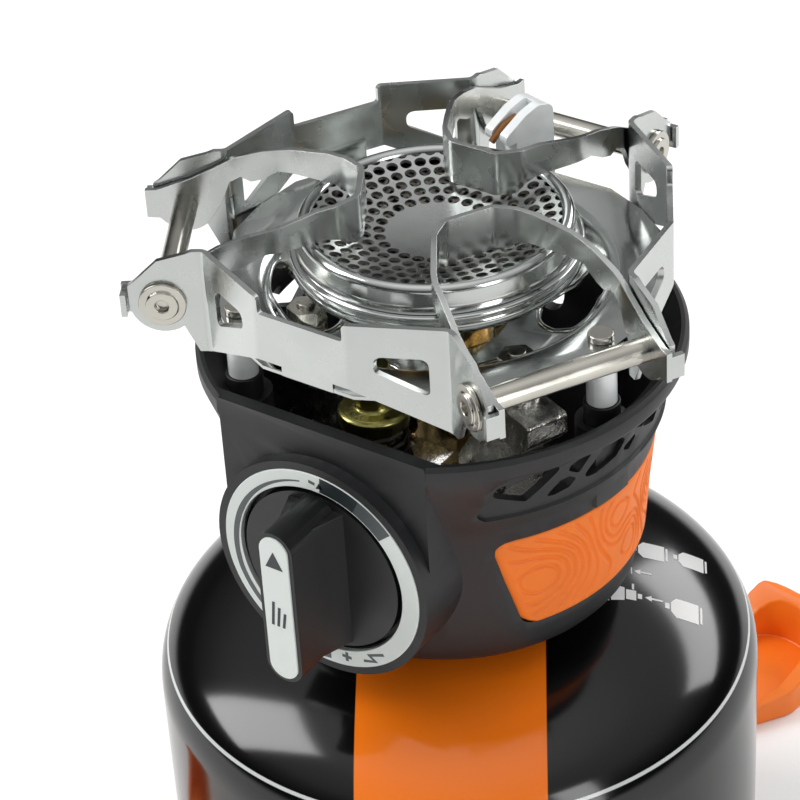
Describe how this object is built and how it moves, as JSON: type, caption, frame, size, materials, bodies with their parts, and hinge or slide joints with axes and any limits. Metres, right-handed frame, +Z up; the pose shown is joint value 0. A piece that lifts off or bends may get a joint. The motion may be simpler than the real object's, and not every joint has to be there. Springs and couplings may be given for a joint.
{
  "type": "upright canister stove on a folding stand",
  "caption": "Camping gas stove: dished perforated burner, hinged wire-ledge pot support, round black housing with dial knob, on a gas canister held by a folding tripod foot.",
  "frame": {"origin": "On the ground under the axis of the canister, at the flat face under the stand's hub", "axes": "+Z up along the axis of the canister and burner, -Y toward the control knob"},
  "size_m": [0.1813, 0.1792, 0.1686],
  "materials": {
    "painted_can": "high gloss",
    "plated_steel": "bright plated",
    "nylon": "satin",
    "rubber": "matte",
    "orange_plastic": "satin",
    "black_plastic": "fine texture",
    "orange_rubber": "matte",
    "white_print": "satin",
    "brass": "machined",
    "zinc": "as cast",
    "yellow_zinc": "yellow chromate",
    "spring_steel": "dark",
    "stainless": "satin to polished",
    "ceramic": "glazed",
    "copper": "bare",
    "lead_insulation": "smooth"
  },
  "bodies": {
    "stove": {"can_shell": "painted_can", "valve_cup": "plated_steel", "valve_core": "nylon", "valve_gasket": "rubber", "leg_back": "orange_plastic", "leg_pin": "plated_steel", "housing": "black_plastic", "grip_right": "orange_rubber", "grip_left": "orange_rubber", "dial_ring": "white_print", "connector": "brass", "connector_seal": "rubber", "base_screws": "plated_steel", "valve_body": "zinc", "regulator_cap": "yellow_zinc", "regulator_spring": "spring_steel", "diaphragm": "rubber", "gas_jet": "brass", "mixing_tube": "brass", "burner_cup": "stainless", "flame_plate": "stainless", "deck": "stainless", "arm_nuts": "plated_steel", "standoffs": "ceramic", "standoff_cups": "rubber", "standoff_screws": "plated_steel", "electrode_block": "ceramic", "electrode_wire": "copper", "igniter": "black_plastic", "igniter_lead": "lead_insulation", "wall_front": "stainless", "wall_right": "stainless", "wall_left": "stainless", "rivet_left": "plated_steel", "rivet_front": "plated_steel", "rivet_back": "plated_steel"},
    "knob": {"knob": "black_plastic", "knob_plate": "white_print", "spindle": "brass", "spindle_seal": "rubber"},
    "loop_left": {"loop_left": "stainless", "spacer_left": "stainless"},
    "loop_front": {"loop_front": "stainless", "spacer_front": "stainless"},
    "loop_back": {"loop_back": "stainless", "spacer_back": "stainless"},
    "leg_left": {"leg_left": "orange_plastic"},
    "leg_front": {"leg_front": "orange_plastic"}
  },
  "joints": [
    {"name": "knob_turn", "type": "hinge", "parent": "stove", "child": "knob", "pos_m": [0, -0.0368, 0.11334], "axis": [0, -1, 0], "range_deg": [0, 250]},
    {"name": "loop_left_fold", "type": "hinge", "parent": "stove", "child": "loop_left", "pos_m": [-0.03848, -0.02221, 0.1556], "axis": [0.5, -0.866, 0], "range_deg": [0, 95]},
    {"name": "loop_front_fold", "type": "hinge", "parent": "stove", "child": "loop_front", "pos_m": [0.03848, -0.02221, 0.1556], "axis": [0.5, 0.866, 0], "range_deg": [0, 95]},
    {"name": "loop_back_fold", "type": "hinge", "parent": "stove", "child": "loop_back", "pos_m": [0, 0.04443, 0.1556], "axis": [-1, 0, 0], "range_deg": [0, 95]},
    {"name": "leg_left_fold", "type": "hinge", "parent": "stove", "child": "leg_left", "pos_m": [0, 0, 0.004], "axis": [0, 0, 1], "range_deg": [-97, 0]},
    {"name": "leg_front_fold", "type": "hinge", "parent": "stove", "child": "leg_front", "pos_m": [0, 0, 0.004], "axis": [0, 0, 1], "range_deg": [0, 88]}
  ]
}
